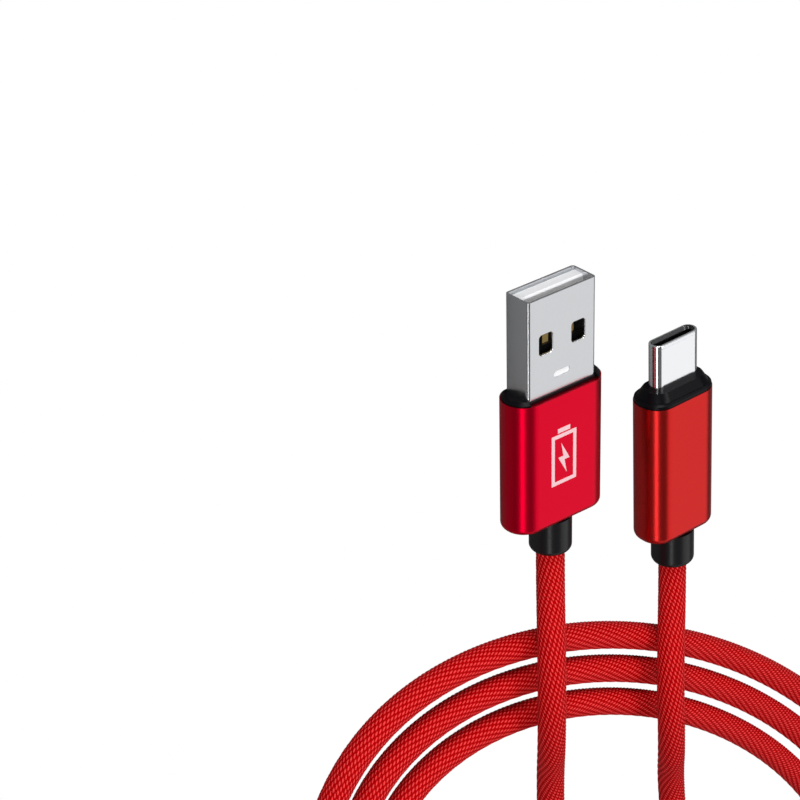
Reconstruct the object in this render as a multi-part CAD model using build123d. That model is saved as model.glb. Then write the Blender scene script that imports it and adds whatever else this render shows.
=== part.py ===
"""Charging cable: a USB-A plug and a USB-C plug joined by a braided cord that lies in a flat oval coil.

Everything lies on the surface z = 0. The mouths of both plugs point towards -Y and the cord leaves them
towards +Y. The origin is at the middle of the USB-A housing's underside. Lengths are in millimetres.
"""
from build123d import *
import math
import os

# ---- Cord -------------------------------------------------------------------------------------------
CORD_D = 4.0  # outside diameter over the braid
JACKET_D = 3.2  # jacket under the braid, bared inside the plugs
WIRE_D = 0.9  # one insulated conductor

# ---- USB-A plug, measured along the plug from its mouth ----------------------------------------------
A_SHELL = (12.0, 4.5)  # standard width and thickness of the metal shell
A_WALL = 0.3
A_HOUSING = (16.0, 6.3)  # width and thickness, with fully rounded narrow sides
A_FACE = 14.3  # front face of the black collar
A_FRONT = 14.9  # front edge of the red housing
A_BACK = 34.6  # rear face of the red housing
A_EXIT = 40.0  # end of the strain relief, where the cord comes out
A_SHELL_END = 19.0
A_RELIEF_D = 5.9

# ---- USB-C plug, measured along the plug from its mouth ----------------------------------------------
C_SHELL = (8.25, 2.4)  # standard width and thickness of the metal shell
C_WALL = 0.3
C_HOUSING = (12.35, 6.5)
C_CORNER = 3.0  # corner radius of the housing's section
C_FACE = 6.9
C_FRONT = 8.8
C_BACK = 30.8
C_EXIT = 36.1
C_SHELL_END = 12.5
C_RELIEF_D = 6.1
C_MOUTH = (-22.35, -9.35)  # where the mouth's centre lies on the table
C_YAW = 1.5  # degrees that the plug is turned about the vertical

# ---- Both plugs ---------------------------------------------------------------------------------------
HOUSING_WALL = 0.7
END_WALL = 1.2  # rear wall of each housing
SPIGOT = 2.0  # how far each collar reaches into its housing
FLANGE = 1.0  # thickness of the strain relief's flange behind the rear wall
NECK_D = 4.8  # strain relief inside the rear wall
CLAMP_WALL = 0.3
WIRE_SPACING = 1.24  # the four conductors lie in a square in the jacket

# ---- Coil, an oval of three turns side by side --------------------------------------------------------
COIL_CENTRE = (-20.7, 86.2)
COIL_TURNED = -41.0  # degrees from +X to the oval's long axis
COIL_OUTER = (77.2, 40.5, 46.7)  # half length, half width near the plugs and half width at the far side
COIL_INNER = (58.3, 29.0, 27.5)
COIL_INNER_SHIFT = (2.9, 0.9)
COIL_EDGE = 1.2  # rounding of the coil's four rims


def station(y):
    """The plane across a plug at y, with its own y axis along +Z."""
    return Plane(origin=(0, y, 0), x_dir=(-1, 0, 0), z_dir=(0, 1, 0))


def bar(outline, start, end):
    """A straight bar of the given section from y = start to y = end."""
    return extrude(station(start) * outline, end - start)


def rod(diameter, start, end, x=0.0, z=0.0):
    """A round bar along Y."""
    return Pos(x, 0, z) * bar(Circle(diameter / 2), start, end)


def block(x_span, y_span, z_span):
    """A box between two limits on each axis."""
    spans = (x_span, y_span, z_span)
    sizes = [high - low for low, high in spans]
    return Pos(*[(low + high) / 2 for low, high in spans]) * Box(*sizes)


def rounded(size, radius):
    """A rounded rectangle; a radius of half its height gives fully round ends."""
    width, height = size
    return RectangleRounded(width, height, min(radius, height / 2 - 0.001))


def shrunk(size, wall):
    """The section inside a wall."""
    return (size[0] - 2 * wall, size[1] - 2 * wall)


def wire(points, radius, diameter=WIRE_D):
    """A round wire along straight runs joined by tangent arcs."""
    path = FilletPolyline(*points, radius=radius)
    start = Plane(origin=path @ 0, z_dir=path % 0)
    return sweep(start * Circle(diameter / 2), path=path)


def conductor_places():
    """Where each conductor enters the jacket, as x and z from the jacket's axis."""
    side = WIRE_SPACING / 2
    return {"vbus": (side, -side), "d_minus": (side, side), "d_plus": (-side, side), "gnd": (-side, -side)}


def housing(size, corner, front, back, hole, rounding):
    """The open-fronted metal sleeve with a rear wall that the strain relief passes through."""
    body = bar(rounded(size, corner), front, back)
    rear_edges = body.faces().sort_by(Axis.Y)[-1].edges()
    body = fillet(rear_edges, rounding)
    body -= bar(rounded(shrunk(size, HOUSING_WALL), corner - HOUSING_WALL), front - 1, back - END_WALL)
    return body - rod(hole, back - 2 * END_WALL, back + 1)


def strain_relief(diameter, flange_size, back, end):
    """A sleeve round the cord with a neck in the housing's rear wall and a flange behind it."""
    inner_face = back - END_WALL
    sleeve = rod(diameter, back, end)
    sleeve = fillet(sleeve.faces().sort_by(Axis.Y)[-1].edges(), 0.8)
    neck = rod(NECK_D, inner_face, back)
    flange = bar(rounded(flange_size, 1.5), inner_face - FLANGE, inner_face)
    return sleeve + neck + flange - rod(CORD_D, inner_face - FLANGE - 1, end + 1)


# ---- USB-A plug ---------------------------------------------------------------------------------------
A_CONTACTS = {"vbus": 3.5, "d_minus": 1.0, "d_plus": -1.0, "gnd": -3.5}  # x of each contact
A_CONTACT_W = 1.0
A_CONTACT_T = 0.25
A_TONGUE_TOP = 0.0
A_NOSE_END = 4.2
A_COVER = 8.1  # where the carrier starts to cover the contacts
A_VOID_END = 9.2  # depth of the space that takes the socket's tongue
A_CARRIER_END = 16.5
A_TAIL_END = 20.4
A_JACKET_START = 27.0
A_WINDOW = (2.3, 2.9)
A_WINDOW_START = 5.4
A_WINDOW_X = 2.85
A_SLOT_DEPTH = 0.2
A_LIP = (0.2, 0.4)  # thickness round the shell of the collar's lip and its height over the housing


def usb_a_shell():
    """Folded sheet shell with two latch windows on each broad face and a small stamped slot."""
    body = bar(RectangleRounded(*A_SHELL, 0.5), 0, A_SHELL_END)
    body -= bar(RectangleRounded(*shrunk(A_SHELL, A_WALL), 0.2), -1, A_SHELL_END + 1)
    window_y = A_WINDOW_START + A_WINDOW[1] / 2
    for x in (-A_WINDOW_X, A_WINDOW_X):
        window = Pos(x, window_y, -5) * extrude(RectangleRounded(*A_WINDOW, 0.45), 10)
        body -= window
    broad_face = body.faces().filter_by(Plane.XY).sort_by(Axis.Z)[-1]
    window_rims = [edge for rim in broad_face.inner_wires() for edge in rim.edges()]
    body = fillet(window_rims, 0.13)
    slot = Pos(0, 12.0, A_SHELL[1] / 2 - A_SLOT_DEPTH) * extrude(SlotOverall(2.9, 0.95), 1)
    seam = block((-0.05, 0.05), (-1, A_SHELL_END + 1), (-3, 0.12 - A_SHELL[1] / 2))
    return body - slot - seam


def usb_a_insulator():
    """The light nose and the black carrier of the contacts, as two pieces."""
    half_w = A_SHELL[0] / 2 - A_WALL
    half_t = A_SHELL[1] / 2 - A_WALL
    nose = block((-half_w, half_w), (0.4, A_NOSE_END), (-half_t, A_TONGUE_TOP))
    front_edge = nose.edges().filter_by(Axis.X).sort_by(Axis.Y)[:2]
    nose = chamfer(front_edge, 0.25)
    carrier = block((-half_w, half_w), (A_NOSE_END, A_CARRIER_END), (-half_t, A_TONGUE_TOP))
    carrier += block((-half_w, half_w), (A_COVER, A_VOID_END), (A_TONGUE_TOP, 0.5))
    carrier += block((-half_w, half_w), (A_VOID_END, A_CARRIER_END), (A_TONGUE_TOP, half_t))
    corners = bar(RectangleRounded(*shrunk(A_SHELL, A_WALL), 0.2), 0, A_CARRIER_END + 1)
    return nose & corners, carrier & corners


def usb_a_contact(name):
    """A flat strip in a groove of the tongue; the power strips reach further forward."""
    x = A_CONTACTS[name]
    start = 1.3 if name in ("vbus", "gnd") else 2.3
    top = A_TONGUE_TOP + 0.05
    strip = block(
        (x - A_CONTACT_W / 2, x + A_CONTACT_W / 2), (start, A_TAIL_END), (top - A_CONTACT_T, top)
    )
    return chamfer(strip.edges().filter_by(Axis.X).sort_by(Axis.Y)[:2].sort_by(Axis.Z)[-1:], 0.12)


def usb_a_plug():
    """Every piece of the USB-A plug, by node name, with the mouth at the origin."""
    nose, carrier = usb_a_insulator()
    contacts = {name: usb_a_contact(name) for name in A_CONTACTS}
    for strip in contacts.values():
        nose -= strip
        carrier -= strip

    inside = shrunk(A_HOUSING, HOUSING_WALL)
    inside_corner = A_HOUSING[1] / 2 - HOUSING_WALL
    shell_block = bar(RectangleRounded(*A_SHELL, 0.5), 0, A_SHELL_END)

    collar = bar(rounded(shrunk(A_HOUSING, 0.15), A_HOUSING[1] / 2), A_FACE, A_FRONT)
    collar = chamfer(collar.faces().sort_by(Axis.Y)[0].edges(), 0.4)
    half_shell = A_SHELL[0] / 2
    collar -= block((-half_shell, half_shell), (A_FACE - 1, A_FRONT), (-A_HOUSING[1], A_HOUSING[1]))
    lip_thickness, lip_height = A_LIP
    collar += bar(RectangleRounded(*shrunk(A_SHELL, -lip_thickness), 0.7), A_FRONT - lip_height, A_FRONT)
    collar += bar(rounded(inside, inside_corner), A_FRONT, A_FRONT + SPIGOT)
    collar -= shell_block

    flange_start = A_BACK - END_WALL - FLANGE
    mould = bar(rounded(inside, inside_corner), A_FRONT + SPIGOT, flange_start)
    mould -= shell_block
    mould -= block((-5.4, 5.4), (A_SHELL_END - 1, A_JACKET_START), (-1.75, 1.75))
    mould -= rod(JACKET_D, A_JACKET_START - 1, flange_start + 1)

    clamp_y = (28.0, 31.0)
    clamp_d = JACKET_D + 2 * CLAMP_WALL
    strap_top = 0.3 - 1.95
    barrel = rod(clamp_d, *clamp_y) - rod(JACKET_D, clamp_y[0] - 1, clamp_y[1] + 1)
    strap = block((-1.5, 1.5), (A_CARRIER_END, clamp_y[1]), (-1.95, strap_top))
    clamp = barrel + strap - rod(JACKET_D, A_JACKET_START, clamp_y[1] + 1)
    mould -= rod(clamp_d, *clamp_y) + block((-1.5, 1.5), (A_CARRIER_END, clamp_y[1]), (-1.95, strap_top))

    pieces = {
        "usb_a_shell": usb_a_shell(),
        "usb_a_tongue_nose": nose,
        "usb_a_contact_carrier": carrier,
        "usb_a_front_collar": collar,
        "usb_a_housing": housing(A_HOUSING, A_HOUSING[1] / 2, A_FRONT, A_BACK, NECK_D, 0.9),
        "usb_a_inner_mould": mould,
        "usb_a_cable_clamp": clamp,
        "usb_a_jacket_end": rod(JACKET_D, A_JACKET_START, flange_start),
        "usb_a_strain_relief": strain_relief(A_RELIEF_D, (9.0, inside[1]), A_BACK, A_EXIT),
    }
    ends = conductor_places()
    for name, x in A_CONTACTS.items():
        pieces[f"usb_a_contact_{name}"] = contacts[name]
        level = A_TONGUE_TOP + 0.05 + WIRE_D / 2
        end_x, end_z = ends[name]
        points = [(x, 18.4, level), (x, 21.0, level), (end_x, 24.8, end_z), (end_x, A_JACKET_START, end_z)]
        pieces[f"usb_a_wire_{name}"] = wire(points, 0.9)
    return pieces


# ---- USB-C plug ---------------------------------------------------------------------------------------
C_PITCH = 0.5  # spacing of the twelve contact places in each row
C_UPPER = (1, 4, 5, 6, 7, 9, 12)  # places filled in a cable without the fast pairs
C_LOWER = (1, 4, 5, 9, 12)
C_SLOT = (6.9, 0.8)  # space that takes the socket's tongue
C_SLOT_CORNER = 0.06
C_SLOT_END = 6.2
C_INSULATOR_END = 9.0
C_CONTACT_T = 0.15
C_TAIL_END = 10.6
C_BOARD = (7.2, 7.0, 0.8)
C_SHIELD = (9.6, 4.4)
C_SHIELD_WALL = 0.25
C_SHIELD_Y = (11.0, 20.5)
C_JACKET_START = 20.0
C_LEDGE = 0.7  # height of the collar's lower step over the housing
C_RING = 0.85  # flat ring round the shell on the collar's upper step
C_LATCH_X = 3.4  # inner face of each latch arm
C_LATCH_T = 0.22


def usb_c_shell():
    """Seamless drawn shell with a rolled rim round the mouth."""
    body = bar(rounded(C_SHELL, C_SHELL[1] / 2), 0, C_SHELL_END)
    body = fillet(body.faces().sort_by(Axis.Y)[0].edges(), 0.12)
    body -= bar(rounded(shrunk(C_SHELL, C_WALL), C_SHELL[1] / 2), -1, C_SHELL_END + 1)
    rim = bar(rounded(shrunk(C_SHELL, -1.0), C_SHELL[1]), 0.42, 0.56)
    rim -= bar(rounded(shrunk(C_SHELL, 0.06), C_SHELL[1] / 2), 0, 1)
    return body - rim


def usb_c_contacts(places, side):
    """One row of contact strips, above (side = 1) or below (side = -1) the slot."""
    inner = side * C_SLOT[1] / 2
    outer = side * (C_SLOT[1] / 2 + C_CONTACT_T)
    strips = []
    for place in places:
        x = side * (place - 6.5) * C_PITCH
        z_span = (min(inner, outer), max(inner, outer))
        strips.append(block((x - 0.13, x + 0.13), (1.0, C_TAIL_END), z_span))
    return Compound(children=strips)


def usb_c_latch_plate():
    """The plate between the rows, with a spring arm along each side of the slot."""
    outside = C_LATCH_X + C_LATCH_T
    plate = block((-outside, outside), (C_SLOT_END + 0.3, C_INSULATOR_END), (-0.08, 0.08))
    for side in (-1, 1):
        x_span = sorted((side * C_LATCH_X, side * outside))
        plate += block(x_span, (1.4, C_INSULATOR_END), (-0.3, 0.3))
        bump = Pos(side * C_LATCH_X, 2.2, 0) * Cylinder(0.18, 0.6)
        plate += bump
    return plate


def usb_c_ground_spring(side):
    """A thin spring between the insulator and the shell's broad wall."""
    outer = C_SHELL[1] / 2 - C_WALL
    z_span = sorted((side * (outer - 0.12), side * outer))
    return block((-2.6, 2.6), (1.6, 4.0), z_span)


def usb_c_plug():
    """Every piece of the USB-C plug, by node name, with the mouth at the origin."""
    bore = shrunk(C_SHELL, C_WALL)
    upper, lower = usb_c_contacts(C_UPPER, 1), usb_c_contacts(C_LOWER, -1)
    latch = usb_c_latch_plate()
    springs = {"upper": usb_c_ground_spring(1), "lower": usb_c_ground_spring(-1)}

    insulator = bar(rounded(bore, bore[1] / 2), 0.35, C_INSULATOR_END)
    insulator -= bar(RectangleRounded(*C_SLOT, C_SLOT_CORNER), 0, C_SLOT_END)
    for piece in (*upper.solids(), *lower.solids(), latch, *springs.values()):
        insulator -= piece

    board_y = (C_INSULATOR_END, C_INSULATOR_END + C_BOARD[1])
    half_board = C_BOARD[0] / 2
    board = block((-half_board, half_board), board_y, (-C_BOARD[2] / 2, C_BOARD[2] / 2))
    resistor = block((-0.5, 0.5), (12.2, 12.7), (C_BOARD[2] / 2, C_BOARD[2] / 2 + 0.35))

    inside = shrunk(C_HOUSING, HOUSING_WALL)
    inside_corner = C_CORNER - HOUSING_WALL
    shell_block = bar(rounded(C_SHELL, C_SHELL[1] / 2), 0, C_SHELL_END)

    ledge = C_FRONT - C_LEDGE
    collar = bar(rounded(shrunk(C_HOUSING, 0.08), C_CORNER), ledge, C_FRONT)
    collar = chamfer(collar.faces().sort_by(Axis.Y)[0].edges(), 0.25)
    step_base = station(ledge) * rounded(shrunk(C_HOUSING, 0.5), C_CORNER - 0.5)
    step_top = station(C_FACE) * rounded(shrunk(C_SHELL, -C_RING), C_SHELL[1] / 2 + C_RING)
    collar += loft([step_base, step_top])
    collar += bar(rounded(inside, inside_corner), C_FRONT, C_FRONT + SPIGOT)
    collar -= shell_block

    shield = bar(rounded(C_SHIELD, 1.4), *C_SHIELD_Y)
    shield_block = shield
    shield -= bar(
        rounded(shrunk(C_SHIELD, C_SHIELD_WALL), 1.15), C_SHIELD_Y[0] + C_SHIELD_WALL, C_SHIELD_Y[1] + 1
    )
    shield -= shell_block

    flange_start = C_BACK - END_WALL - FLANGE
    mould = bar(rounded(inside, inside_corner), C_FRONT + SPIGOT, flange_start)
    mould -= shield_block + shell_block
    mould -= rod(JACKET_D, C_SHIELD_Y[1] - 1, flange_start + 1)

    pieces = {
        "usb_c_shell": usb_c_shell(),
        "usb_c_insulator": insulator,
        "usb_c_upper_contacts": upper,
        "usb_c_lower_contacts": lower,
        "usb_c_latch_plate": latch,
        "usb_c_circuit_board": board,
        "usb_c_pull_up_resistor": resistor,
        "usb_c_rear_shield": shield,
        "usb_c_front_collar": collar,
        "usb_c_housing": housing(C_HOUSING, C_CORNER, C_FRONT, C_BACK, NECK_D, 1.1),
        "usb_c_inner_mould": mould,
        "usb_c_jacket_end": rod(JACKET_D, C_JACKET_START, flange_start),
        "usb_c_strain_relief": strain_relief(C_RELIEF_D, (8.0, inside[1]), C_BACK, C_EXIT),
    }
    for side, spring in springs.items():
        pieces[f"usb_c_ground_spring_{side}"] = spring
    level = C_BOARD[2] / 2 + WIRE_D / 2
    pads = {"vbus": (2.2, level), "d_minus": (0.8, level), "d_plus": (-0.8, level), "gnd": (-2.2, level)}
    ends = conductor_places()
    for name, (x, z) in pads.items():
        end_x, end_z = ends[name]
        points = [(x, 13.4, z), (x, 16.4, z), (end_x, 18.6, end_z), (end_x, C_JACKET_START, end_z)]
        pieces[f"usb_c_wire_{name}"] = wire(points, 0.5)
    return pieces


# ---- Cord ---------------------------------------------------------------------------------------------
# Both stretches leave their plug straight, rise over the near side of the coil and come down inside it.
# Stretch A then joins the inmost turn and stretch C rises again over the far side to the outmost turn.
STRAIGHT = 6.4  # how far the cord keeps to the plug's axis past the strain relief
LYING = CORD_D / 2  # height of the cord's centre on the table
OVER = CORD_D * 2.5  # height of its centre where it passes over the coil
TAIL_A = [
    (3.6, 31.5, OVER),
    (3.6, 43.5, OVER),
    (-1.1, 54.5, LYING),
    (-1.3, 66.0, LYING),
    (-1.8, 78.0, LYING),
    (-3.5, 90.0, LYING),
    (-8.0, 102.0, LYING),
    (-14.0, 113.0, LYING),
    (-17.5, 125.0, LYING),
]
TAIL_C = [
    (-19.3, 43.4, OVER),
    (-19.9, 55.0, OVER),
    (-25.2, 66.0, LYING),
    (-26.6, 77.0, LYING),
    (-27.3, 89.0, LYING),
    (-29.3, 100.5, LYING),
    (-30.5, 112.5, OVER),
    (-26.0, 126.0, OVER),
    (-13.5, 134.5, OVER),
    (0.5, 131.0, LYING),
    (5.0, 117.0, LYING),
]


def rounded_path(points):
    """Straight runs joined by tangent arcs that are as large as their runs allow."""
    corners = [Vector(*point) for point in points]
    radii = []
    for before, corner, after in zip(corners, corners[1:], corners[2:]):
        into, out = corner - before, after - corner
        half_turn = math.radians(into.get_angle(out)) / 2
        radii.append(0.45 * min(into.length, out.length) / math.tan(half_turn))
    print("radii", [round(radius, 1) for radius in radii])
    return FilletPolyline(*corners, radius=radii)


def cord_tail(place, back, end, points):
    """The cord as a plain tube from inside a plug's rear wall to the coil."""
    start = (place * Pos(0, back - END_WALL - FLANGE, 0)).position
    corner = (place * Pos(0, end + STRAIGHT, 0)).position
    path = rounded_path([start, corner, *points])
    tube = sweep(Plane(origin=path @ 0, z_dir=path % 0) * Circle(CORD_D / 2), path=path)
    expected = math.pi * CORD_D**2 / 4 * path.length
    print("tube length", round(path.length, 1), "volume", round(tube.volume), "expected", round(expected))
    return tube


def oval(half_length, near_half_width, far_half_width):
    """An oval face of two half ellipses that share their long axis."""
    near = EllipticalCenterArc((0, 0), half_length, near_half_width, 180, arc_size=180)
    far = EllipticalCenterArc((0, 0), half_length, far_half_width, 0, arc_size=180)
    return make_face([near, far])


def cord_coil():
    """The outer shape of the coil: a flat oval ring one cord thick."""
    place = Pos(*COIL_CENTRE, 0) * Rot(0, 0, COIL_TURNED)
    inner_place = Pos(*COIL_INNER_SHIFT, 0) * place
    ring = extrude(place * oval(*COIL_OUTER), CORD_D)
    return ring - extrude(inner_place * oval(*COIL_INNER), CORD_D)


def up_to(coil, tube):
    """The part of a cord tube that ends at the coil's wall."""
    pieces = (tube - coil).solids().sort_by(SortBy.VOLUME)
    print("cut pieces", [round(piece.volume, 1) for piece in pieces])
    return pieces[-1]


# ---- Assembly -----------------------------------------------------------------------------------------
a_place = Pos(0, -(A_FRONT + A_BACK) / 2, A_HOUSING[1] / 2)
c_place = Pos(*C_MOUTH, C_HOUSING[1] / 2) * Rot(0, 0, C_YAW)
nodes = {name: a_place * piece for name, piece in usb_a_plug().items()}
nodes |= {name: c_place * piece for name, piece in usb_c_plug().items()}

coil = cord_coil()
rims = coil.faces().filter_by(Plane.XY).edges()
nodes["cord_coil"] = fillet(rims, COIL_EDGE)
nodes["cord_tail_a"] = up_to(coil, cord_tail(a_place, A_BACK, A_EXIT, TAIL_A))
nodes["cord_tail_c"] = up_to(coil, cord_tail(c_place, C_BACK, C_EXIT, TAIL_C))

os.makedirs("parts", exist_ok=True)
for name, piece in nodes.items():
    export_step(piece, f"parts/{name}.step")
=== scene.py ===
import math

import bmesh
import bpy
import numpy as np
from mathutils import Matrix, Vector


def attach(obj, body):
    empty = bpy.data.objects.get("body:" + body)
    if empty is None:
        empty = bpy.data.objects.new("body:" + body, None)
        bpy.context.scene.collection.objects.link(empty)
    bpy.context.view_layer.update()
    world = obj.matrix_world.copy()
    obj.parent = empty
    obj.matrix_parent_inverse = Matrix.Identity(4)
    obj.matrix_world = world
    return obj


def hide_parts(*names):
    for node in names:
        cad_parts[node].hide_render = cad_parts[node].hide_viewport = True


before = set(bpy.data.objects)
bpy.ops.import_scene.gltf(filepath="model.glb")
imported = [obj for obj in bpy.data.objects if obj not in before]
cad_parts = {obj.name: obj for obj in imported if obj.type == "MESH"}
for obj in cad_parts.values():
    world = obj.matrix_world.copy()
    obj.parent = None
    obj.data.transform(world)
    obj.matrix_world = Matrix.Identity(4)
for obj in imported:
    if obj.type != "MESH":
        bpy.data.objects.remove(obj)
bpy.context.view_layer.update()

MM = 0.001

# ---- Cord ---------------------------------------------------------------------------------------------
CORD_D = 4.0 * MM  # over the braid
CORE_R = 1.72 * MM  # the jacket that shows in the gaps of the braid
LYING = 2.0  # height of the cord's centre on the floor, in mm like the points below
OVER = 7.5  # height of its centre where it passes over the coil

# The route from inside the USB-A plug's strain relief to the coil.
ROUTE_A = [
    (0.0, 13.0, 3.15),
    (0.0, 21.0, 3.15),
    (3.6, 31.5, OVER),
    (3.6, 43.5, OVER),
    (-1.1, 54.5, LYING),
    (-1.3, 66.0, LYING),
    (-1.8, 78.0, LYING),
    (-3.5, 90.0, LYING),
    (-8.0, 102.0, LYING),
    (-15.0, 113.5, LYING),
]
# The route from inside the USB-C plug's strain relief to the coil.
ROUTE_C = [
    (-23.24, 24.5, 3.25),
    (-23.42, 32.0, 3.25),
    (-19.2, 42.3, OVER),
    (-19.9, 55.5, OVER),
    (-25.2, 66.0, LYING),
    (-26.4, 77.0, LYING),
    (-27.3, 89.0, LYING),
    (-29.3, 101.0, 2.8),
    (-30.5, 113.5, 7.0),
    (-26.0, 126.5, OVER),
    (-14.0, 134.5, OVER),
    (0.5, 131.0, LYING),
]

# The coil is an oval whose turns step outwards on the side away from the plugs.
COIL_CENTRE = (-20.73, 86.19)
COIL_TURNED = math.radians(-41.25)
HALF_LENGTH = (75.7, 7.51)  # of the outmost turn, and how much less each turn inwards has
NEAR_HALF_WIDTH = (38.7, 3.74)
FAR_HALF_WIDTH = (42.3, 5.95)
CENTRE_STEP = (1.44, 0.47)  # each turn inwards is shifted by this
COIL_START = 125  # degrees round the oval where the cord from the USB-A plug joins it
COIL_END = 1155  # and where it leaves for the USB-C plug
COIL_STEP = 15
OUTMOST = 3  # how many turns out the outmost one is from the start

# ---- Braid --------------------------------------------------------------------------------------------
COLUMNS = 18  # strands round the cord
ROW = 0.55 * MM  # from one row of strands to the next, along the cord
SLANT = -0.309  # sideways shift of each row for its length
SIDES = 108  # points round each ring of the surface
RING_STEP = ROW / 3
SECTIONS = 16
SMOOTHING = 8  # rings on each side over which the cord's direction is averaged
STRAND_LEAN = math.radians(-22)  # from the cord's direction, for the strands on top
STRAND_HALF = (0.44 * MM, 0.15 * MM)  # half length and half width of the stretch of a strand that shows
STRAND_RISE = 0.10 * MM
UNDER_RISE = 0.03 * MM
UNDER_PAINTED_SHADE = 0.20  # painted shade: how bright the strands underneath are coloured beside those on top, as if they caught less light
BRAID_R = CORD_D / 2 - STRAND_RISE

# ---- Camera -------------------------------------------------------------------------------------------
AIM = Vector((23.1, -14.9, 0.0)) * MM
AZIMUTH = math.radians(48.63)
ELEVATION = math.radians(42.73)
ROLL = math.radians(119.39)
DISTANCE = 392.9 * MM
LENS = 138.42


def coil_point(degrees):
    """A point of the coil's line. On the far half of each turn the cord moves out by one turn."""
    turns = math.floor(degrees / 360)
    share = min((degrees / 360 - turns) * 2, 1.0)
    inwards = OUTMOST - turns - share * share * (3 - 2 * share)
    angle = math.radians(degrees)
    length, length_step = HALF_LENGTH
    width, width_step = NEAR_HALF_WIDTH if math.sin(angle) < 0 else FAR_HALF_WIDTH
    along = (length - length_step * inwards) * math.cos(angle)
    across = (width - width_step * inwards) * math.sin(angle)
    turn_cos, turn_sin = math.cos(COIL_TURNED), math.sin(COIL_TURNED)
    x = COIL_CENTRE[0] + CENTRE_STEP[0] * inwards + along * turn_cos - across * turn_sin
    y = COIL_CENTRE[1] + CENTRE_STEP[1] * inwards + along * turn_sin + across * turn_cos
    return (x, y, LYING)


def cord_route():
    """Control points of the whole cord, from the USB-A plug to the USB-C plug, in metres."""
    steps = range(COIL_START, COIL_END + 1, COIL_STEP)
    coil = [coil_point(degrees) for degrees in steps]
    return [Vector(point) * MM for point in (*ROUTE_A, *coil, *reversed(ROUTE_C))]


def spline_curve(name, points, radius):
    """A smooth curve with these control points, as a tube if it has a radius."""
    data = bpy.data.curves.new(name, "CURVE")
    data.dimensions = "3D"
    data.resolution_u = 12
    data.bevel_depth = radius
    data.bevel_resolution = 6
    data.use_fill_caps = True
    spline = data.splines.new("NURBS")
    spline.points.add(len(points) - 1)
    for spot, point in zip(spline.points, points):
        spot.co = (*point, 1.0)
    spline.order_u = 3
    spline.use_endpoint_u = True
    obj = bpy.data.objects.new(name, data)
    bpy.context.scene.collection.objects.link(obj)
    return obj


def line_of(points):
    """The smooth line through the cord, evenly spaced, with the distance along it."""
    guide = spline_curve("guide", points, 0.0)
    depsgraph = bpy.context.evaluated_depsgraph_get()
    mesh = bpy.data.meshes.new_from_object(guide.evaluated_get(depsgraph))
    raw = np.array([tuple(v.co) for v in mesh.vertices])
    bpy.data.objects.remove(guide)
    bpy.data.meshes.remove(mesh)
    steps = np.linalg.norm(np.diff(raw, axis=0), axis=1)
    along = np.concatenate([[0.0], np.cumsum(steps)])
    count = int(round(along[-1] / RING_STEP))
    even = np.linspace(0.0, along[-1], count + 1)
    line = np.stack([np.interp(even, along, raw[:, k]) for k in range(3)], axis=1)
    return line, even


def smoothed(values, reach):
    """Values averaged over this many neighbours on each side, with the ends repeated."""
    padded = np.concatenate([np.repeat(values[:1], reach, 0), values, np.repeat(values[-1:], reach, 0)])
    kernel = np.ones(2 * reach + 1) / (2 * reach + 1)
    return np.stack([np.convolve(padded[:, k], kernel, "valid") for k in range(3)], axis=1)


def ring_frames(line):
    """Two directions across the line at each of its points, without twist."""
    tangents = smoothed(np.gradient(line, axis=0), SMOOTHING)
    tangents /= np.linalg.norm(tangents, axis=1)[:, None]
    first = np.empty_like(line)
    first[0] = np.cross(tangents[0], (0.0, 0.0, 1.0))
    for i in range(1, len(line)):
        side = first[i - 1] - tangents[i] * first[i - 1].dot(tangents[i])
        first[i] = side / np.linalg.norm(side)
    return first, np.cross(tangents, first)


def strand_height(around, along, lean, offset):
    """Height from 0 to 1 of one family of strands, at places round and along the unrolled cord."""
    column = math.pi * CORD_D / COLUMNS
    a = (around + SLANT * along) / column + offset
    b = along / ROW + offset
    best = np.zeros_like(a)
    for da in (-1, 0, 1):
        for db in (-1, 0, 1):
            near_a = np.floor(a + 0.5) + da
            near_b = np.floor(b + 0.5) + db
            dy = (b - near_b) * ROW
            dx = (a - near_a) * column - SLANT * dy
            length = (dy * math.cos(lean) + dx * math.sin(lean)) / STRAND_HALF[0]
            width = (dx * math.cos(lean) - dy * math.sin(lean)) / STRAND_HALF[1]
            best = np.maximum(best, 1.0 - length**2 - width**2)
    return np.sqrt(best)


def braid_section(name, line, along, first, second):
    """One length of the braid: a tube whose surface rises in short crossing strands."""
    twist = along * math.tan(STRAND_LEAN) / (CORD_D / 2)
    angles = twist[:, None] + np.arange(SIDES) * 2 * math.pi / SIDES
    around = angles * CORD_D / 2
    distance = np.broadcast_to(along[:, None], around.shape)
    over = strand_height(around, distance, STRAND_LEAN, 0.0)
    under = strand_height(around, distance, -STRAND_LEAN, 0.5)
    rise = np.maximum(STRAND_RISE * over, UNDER_RISE * under)
    outwards = first[:, None] * np.cos(angles)[:, :, None] + second[:, None] * np.sin(angles)[:, :, None]
    points = line[:, None] + outwards * (BRAID_R + rise)[:, :, None]
    rings = len(line)
    ring, side = np.meshgrid(np.arange(rings - 1), np.arange(SIDES), indexing="ij")
    following = (side + 1) % SIDES
    here, there = ring * SIDES, (ring + 1) * SIDES
    quads = np.stack([here + side, there + side, there + following, here + following], axis=-1)
    mesh = bpy.data.meshes.new(name)
    mesh.from_pydata(points.reshape(-1, 3), [], quads.reshape(-1, 4))
    mesh.shade_smooth()
    # The strand attribute drives the braid's painted light: shade between the strands and on those
    # underneath, and a highlight on the crests.
    height = mesh.attributes.new("strand", "FLOAT", "POINT")
    painted_light_level = np.maximum(over, UNDER_PAINTED_SHADE * under)
    height.data.foreach_set("value", painted_light_level.ravel().astype(np.float32))
    obj = bpy.data.objects.new(name, mesh)
    bpy.context.scene.collection.objects.link(obj)
    return obj


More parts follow.
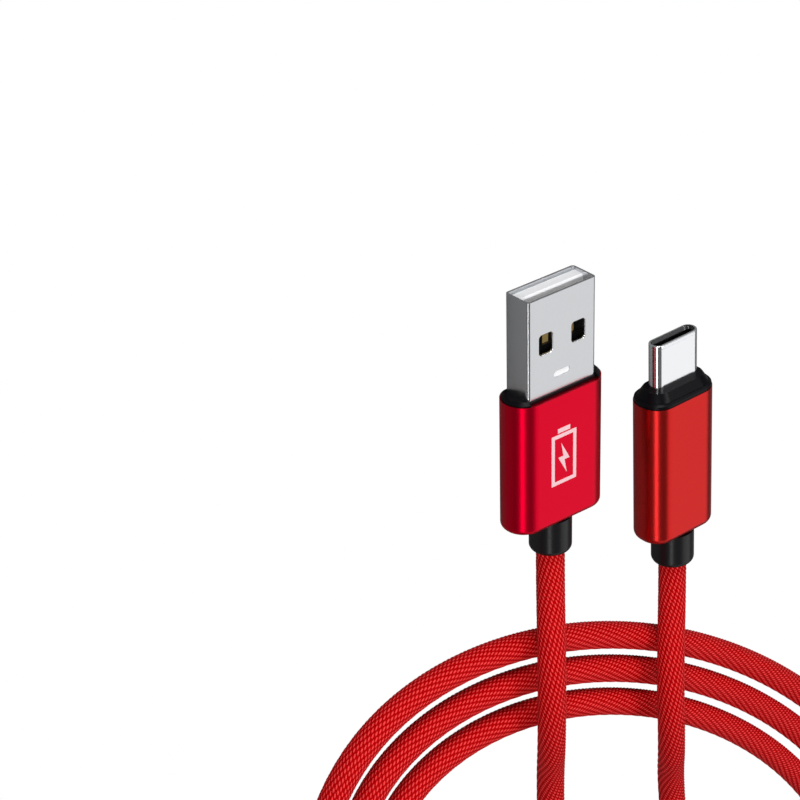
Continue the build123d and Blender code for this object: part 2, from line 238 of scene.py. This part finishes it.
# ---- Materials ----------------------------------------------------------------------------------------
NOISE_DETAIL = 4.0
ANODISED_A = (0.76, 0.0, 0.024)
ANODISED_C = (0.66, 0.022, 0.020)


def new_material(name, colour, roughness, metallic=0.0, **more):
    """A material and its Principled node. more gives other sockets by name, with _ for a space."""
    material = bpy.data.materials.new(name)
    material.use_nodes = True
    shader = material.node_tree.nodes["Principled BSDF"]
    shader.inputs["Base Color"].default_value = (*colour, 1.0)
    shader.inputs["Roughness"].default_value = roughness
    shader.inputs["Metallic"].default_value = metallic
    for key, value in more.items():
        shader.inputs[key.replace("_", " ")].default_value = value
    return material, shader


def add_node(material, kind, **settings):
    """A node of this kind with these settings."""
    node = material.node_tree.nodes.new(kind)
    for key, value in settings.items():
        setattr(node, key, value)
    return node


def stretched_noise(material, scale, stretch):
    """Fine noise in the object's own space; stretch gives the scale along each axis."""
    place = add_node(material, "ShaderNodeTexCoord")
    mapping = add_node(material, "ShaderNodeMapping")
    mapping.inputs["Scale"].default_value = stretch
    noise = add_node(material, "ShaderNodeTexNoise")
    noise.inputs["Scale"].default_value = scale
    noise.inputs["Detail"].default_value = NOISE_DETAIL
    link = material.node_tree.links.new
    link(place.outputs["Object"], mapping.inputs["Vector"])
    link(mapping.outputs["Vector"], noise.inputs["Vector"])
    return noise


def roughen(material, shader, scale, low, high, bump, stretch=(1, 1, 1)):
    """Varies the roughness between two values and adds a fine bump, in metres."""
    noise = stretched_noise(material, scale, stretch)
    spread = add_node(material, "ShaderNodeMapRange")
    spread.inputs["To Min"].default_value = low
    spread.inputs["To Max"].default_value = high
    relief = add_node(material, "ShaderNodeBump")
    relief.inputs["Distance"].default_value = bump
    relief.inputs["Strength"].default_value = 1.0
    link = material.node_tree.links.new
    link(noise.outputs["Fac"], spread.inputs["Value"])
    link(spread.outputs["Result"], shader.inputs["Roughness"])
    link(noise.outputs["Fac"], relief.inputs["Height"])
    link(relief.outputs["Normal"], shader.inputs["Normal"])


def braid_material():
    """Red-dyed nylon, with painted shade between the strands and a painted highlight on their crests."""
    material, shader = new_material("braid_nylon_painted_light", (0.5, 0.0, 0.0), 0.42, Specular_IOR_Level=0.04)
    shader.inputs["Specular Tint"].default_value = (1.0, 0.25, 0.25, 1.0)
    height = add_node(material, "ShaderNodeAttribute", attribute_name="strand")
    ramp = add_node(material, "ShaderNodeValToRGB")
    # Painted light: darker red in the valleys stands for shade between the strands, pinkish red on the
    # crests stands for a highlight.
    painted_valley_shade, painted_crest_highlight = ramp.color_ramp.elements
    painted_valley_shade.color = (0.37, 0.0, 0.001, 1.0)
    painted_valley_shade.position = 0.35
    painted_crest_highlight.color = (0.92, 0.064, 0.064, 1.0)
    painted_crest_highlight.position = 0.95
    link = material.node_tree.links.new
    link(height.outputs["Fac"], ramp.inputs["Fac"])
    link(ramp.outputs["Color"], shader.inputs["Base Color"])
    return material


def plain_finish(name, colour, roughness, metallic=0.0, scale=2500.0, bump=2e-6, **more):
    """A uniform material with a fine grain in its roughness and surface."""
    material, shader = new_material(name, colour, roughness, metallic, **more)
    roughen(material, shader, scale, roughness * 0.85, min(1.0, roughness * 1.15), bump)
    return material


def brushed_finish(name, colour, roughness, stretch=(40, 3, 40), scale=900.0, bump=2e-6):
    """Metal with fine lines along one axis."""
    material, shader = new_material(name, colour, roughness, 1.0)
    roughen(material, shader, scale, roughness * 0.7, roughness * 1.3, bump, stretch)
    return material


def paint(node, material):
    """Gives a CAD node one material."""
    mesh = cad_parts[node].data
    mesh.materials.clear()
    mesh.materials.append(material)


def paint_nodes():
    """A procedural finish for every CAD node that stays."""
    black = plain_finish("collar_black", (0.003, 0.003, 0.004), 0.30, Specular_IOR_Level=0.1)
    relief = plain_finish("relief_black", (0.005, 0.005, 0.006), 0.30, Specular_IOR_Level=0.3)
    clear = plain_finish("inner_mould_natural", (0.72, 0.72, 0.68), 0.45)
    jacket = plain_finish("jacket_black", (0.02, 0.02, 0.02), 0.5)
    gold = plain_finish("contact_gold", (1.0, 0.72, 0.26), 0.45, 0.6, scale=1800.0)
    sheet = brushed_finish("sheet_steel", (0.55, 0.55, 0.56), 0.35, (1, 8, 8), 600.0, 1.5e-6)
    by_name = {
        "usb_a_shell": plain_finish("shell_nickel", (0.62, 0.63, 0.65), 0.24, 1.0, 3000.0, 2e-8),
        "usb_a_tongue_nose": plain_finish("nose_grey", (0.95, 0.955, 0.97), 0.40),
        # Painted shade: the carrier is black so the windows above it look dark, as the shade inside the
        # plug would.
        "usb_a_contact_carrier": plain_finish("carrier_black_painted_shade", (0.006, 0.006, 0.007), 0.35),
        "usb_a_front_collar": black,
        "usb_a_housing": brushed_finish("anodised_crimson", ANODISED_A, 0.34),
        "usb_a_inner_mould": clear,
        "usb_a_cable_clamp": sheet,
        "usb_a_jacket_end": jacket,
        "usb_a_strain_relief": relief,
        "usb_c_shell": plain_finish("shell_polished", (0.86, 0.87, 0.89), 0.15, 1.0, 900.0, 4e-7),
        "usb_c_insulator": plain_finish("insulator_black", (0.004, 0.004, 0.005), 0.30),
        "usb_c_upper_contacts": gold,
        "usb_c_lower_contacts": gold,
        "usb_c_latch_plate": sheet,
        "usb_c_circuit_board": plain_finish("board_green", (0.01, 0.16, 0.06), 0.30),
        "usb_c_pull_up_resistor": plain_finish("resistor_black", (0.03, 0.03, 0.03), 0.40),
        "usb_c_rear_shield": sheet,
        "usb_c_front_collar": black,
        "usb_c_housing": brushed_finish("anodised_red", ANODISED_C, 0.30),
        "usb_c_inner_mould": clear,
        "usb_c_jacket_end": jacket,
        "usb_c_strain_relief": relief,
        "usb_c_ground_spring_upper": sheet,
        "usb_c_ground_spring_lower": sheet,
    }
    for node, material in by_name.items():
        paint(node, material)
    insulation = {
        "vbus": (0.55, 0.01, 0.01),
        "d_minus": (0.75, 0.75, 0.72),
        "d_plus": (0.01, 0.30, 0.04),
        "gnd": (0.015, 0.015, 0.015),
    }
    for name, colour in insulation.items():
        finish = plain_finish(f"wire_{name}", colour, 0.35)
        paint(f"usb_a_wire_{name}", finish)
        paint(f"usb_c_wire_{name}", finish)
        paint(f"usb_a_contact_{name}", gold)


# ---- Printed mark and slot ------------------------------------------------------------------------------
MARK_CENTRE = Vector((0.46, -0.35, 6.3)) * MM
PLATE_THICK = 0.03 * MM
BATTERY = (4.4 * MM, 7.6 * MM)  # width and height of the outline
BATTERY_LINE = 0.55 * MM
SLOT_CENTRE = Vector((0.0, -12.75, 5.2)) * MM
SLOT_SIZE = (2.86 * MM, 0.91 * MM)
SLOT_STEPS = 24


def plate(outlines, centre, name, material):
    """A thin level plate made of closed outlines, each a list of (x, y) in metres from its centre."""
    shape = bmesh.new()
    for outline in outlines:
        corners = [shape.verts.new((x, y, 0.0)) for x, y in outline]
        shape.faces.new(corners)
    grown = bmesh.ops.extrude_face_region(shape, geom=shape.faces[:])
    tops = [item for item in grown["geom"] if isinstance(item, bmesh.types.BMVert)]
    bmesh.ops.translate(shape, vec=(0, 0, PLATE_THICK), verts=tops)
    bmesh.ops.recalc_face_normals(shape, faces=shape.faces[:])
    mesh = bpy.data.meshes.new(name)
    shape.to_mesh(mesh)
    shape.free()
    mesh.materials.append(material)
    obj = bpy.data.objects.new(name, mesh)
    obj.location = centre
    bpy.context.scene.collection.objects.link(obj)
    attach(obj, "root")
    return obj


def rectangle(low_x, low_y, high_x, high_y):
    """Corners of an upright rectangle."""
    return [(low_x, low_y), (high_x, low_y), (high_x, high_y), (low_x, high_y)]


def printed_mark():
    """A plain battery symbol with a charging bolt on the USB-A housing."""
    ink, _ = new_material("mark_ink", (0.80, 0.52, 0.55), 0.55)
    half_w, half_h = BATTERY[0] / 2, BATTERY[1] / 2
    line = BATTERY_LINE
    outlines = [
        rectangle(-half_w, -half_h, -half_w + line, half_h),
        rectangle(half_w - line, -half_h, half_w, half_h),
        rectangle(-half_w + line, -half_h, half_w - line, -half_h + line),
        rectangle(-half_w + line, half_h - line, half_w - line, half_h),
        rectangle(-half_w / 2, -half_h - 1.6 * line, half_w / 2, -half_h - 0.4 * line),
    ]
    bolt = [(0.5, -2.4), (-1.0, 0.3), (-0.1, 0.3), (-0.5, 2.4), (1.0, -0.3), (0.1, -0.3)]
    outlines.append([(x * MM, y * MM) for x, y in bolt])
    mark = plate(outlines, MARK_CENTRE, "charging_mark", ink)


def slot_floor():
    """The floor of the short slot pressed into the USB-A shell, as a pale plate: a painted highlight where
    the metal catches the light.
    """
    width, height = SLOT_SIZE
    straight, radius = (width - height) / 2, height / 2
    outline = []
    for step in range(SLOT_STEPS):
        angle = 2 * math.pi * (step + 0.5) / SLOT_STEPS
        shift = math.copysign(straight, math.cos(angle))
        outline.append((shift + radius * math.cos(angle), radius * math.sin(angle)))
    # Painted highlight: a pale non-metal grey stands for the light the pressed metal catches.
    bright = plain_finish("slot_painted_highlight", (0.84, 0.84, 0.85), 0.50)
    floor = plate([outline], SLOT_CENTRE, "usb_a_slot_floor", bright)


# ---- Studio -------------------------------------------------------------------------------------------
FLOOR_HALF = 3.0
PLUGS_MIDDLE = Vector((-0.01, 0.01, 0.0))  # what every light faces


def floor_material():
    """Plain white as it is seen, and grey where the object mirrors it."""
    material, shader = new_material("floor_white", (0.18, 0.18, 0.18), 0.9)
    seen = add_node(material, "ShaderNodeEmission")
    seen.inputs["Color"].default_value = (1.0, 1.0, 1.0, 1.0)
    seen.inputs["Strength"].default_value = 1.0
    rays = add_node(material, "ShaderNodeLightPath")
    mix = add_node(material, "ShaderNodeMixShader")
    output = material.node_tree.nodes["Material Output"]
    link = material.node_tree.links.new
    link(rays.outputs["Is Camera Ray"], mix.inputs["Fac"])
    link(shader.outputs["BSDF"], mix.inputs[1])
    link(seen.outputs["Emission"], mix.inputs[2])
    link(mix.outputs["Shader"], output.inputs["Surface"])
    return material


def studio():
    """A pale floor, soft lights and the camera."""
    mesh = bpy.data.meshes.new("floor")
    outline = rectangle(-FLOOR_HALF, -FLOOR_HALF, FLOOR_HALF, FLOOR_HALF)
    mesh.from_pydata([(x, y, 0) for x, y in outline], [], [(0, 1, 2, 3)])
    floor = bpy.data.objects.new("floor", mesh)
    mesh.materials.append(floor_material())
    bpy.context.scene.collection.objects.link(floor)

    world = bpy.data.worlds.new("studio")
    world.use_nodes = True
    background = world.node_tree.nodes["Background"]
    background.inputs["Color"].default_value = (1.0, 1.0, 1.0, 1.0)
    background.inputs["Strength"].default_value = 0.12
    bpy.context.scene.world = world

    area_light("mirror", (-0.34, 0.30, 0.42), (0.44, 0.44), 0.55)
    area_light("key", (-0.20, -0.14, 0.52), (0.24, 0.24), 1.2)
    area_light("front", (0.05, -0.55, 0.22), (0.20, 0.30), 1.5)
    area_light("near_camera", (0.27, -0.12, 0.31), (0.08, 0.08), 0.9)
    area_light("strip", (0.347, 0.267, 0.336), (0.40, 0.10), 0.42)
    area_light("back", (0.0, 0.75, 0.42), (0.40, 0.60), 0.4)
    area_light("side", (-0.50, -0.50, 0.33), (0.40, 0.40), 0.5)

    camera_data = bpy.data.cameras.new("camera")
    camera_data.lens = LENS
    camera_data.sensor_width = 36.0
    camera = bpy.data.objects.new("camera", camera_data)
    turn = Matrix.Rotation(AZIMUTH, 4, "Z") @ Matrix.Rotation(math.pi / 2 - ELEVATION, 4, "X")
    turn = turn @ Matrix.Rotation(ROLL, 4, "Z")
    camera.matrix_world = Matrix.Translation(AIM) @ turn @ Matrix.Translation((0, 0, DISTANCE))
    bpy.context.scene.collection.objects.link(camera)
    bpy.context.scene.camera = camera
    bpy.context.scene.view_settings.view_transform = "Standard"


def area_light(name, place, size, power):
    """A rectangular soft light that faces the plugs, its first side in line with them."""
    data = bpy.data.lights.new(name, "AREA")
    data.shape = "RECTANGLE"
    data.size, data.size_y = size
    data.energy = power
    light = bpy.data.objects.new(name, data)
    back = (Vector(place) - PLUGS_MIDDLE).normalized()
    side = (Vector((0, 1, 0)) - back * back.y).normalized()
    up = back.cross(side)
    light.matrix_world = Matrix.Translation(place) @ Matrix((side, up, back)).transposed().to_4x4()
    bpy.context.scene.collection.objects.link(light)


def cord():
    """The jacket as one curve, and over it the braid in sections."""
    route = cord_route()
    core = spline_curve("cord_jacket", route, CORE_R)
    material, _ = new_material("jacket_red", (0.10, 0.0, 0.002), 0.6)
    core.data.materials.append(material)
    line, along = line_of(route)
    first, second = ring_frames(line)
    braid = braid_material()
    cuts = np.linspace(0, len(line) - 1, SECTIONS + 1).round().astype(int)
    for number, (low, high) in enumerate(zip(cuts, cuts[1:])):
        part = slice(low, high + 1)
        name = f"cord_braid_{number + 1}"
        section = braid_section(name, line[part], along[part], first[part], second[part])
        section.data.materials.append(braid)
        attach(section, "root")
    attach(core, "root")
    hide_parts("cord_tail_a", "cord_coil", "cord_tail_c")


cord()
paint_nodes()
printed_mark()
slot_floor()
studio()
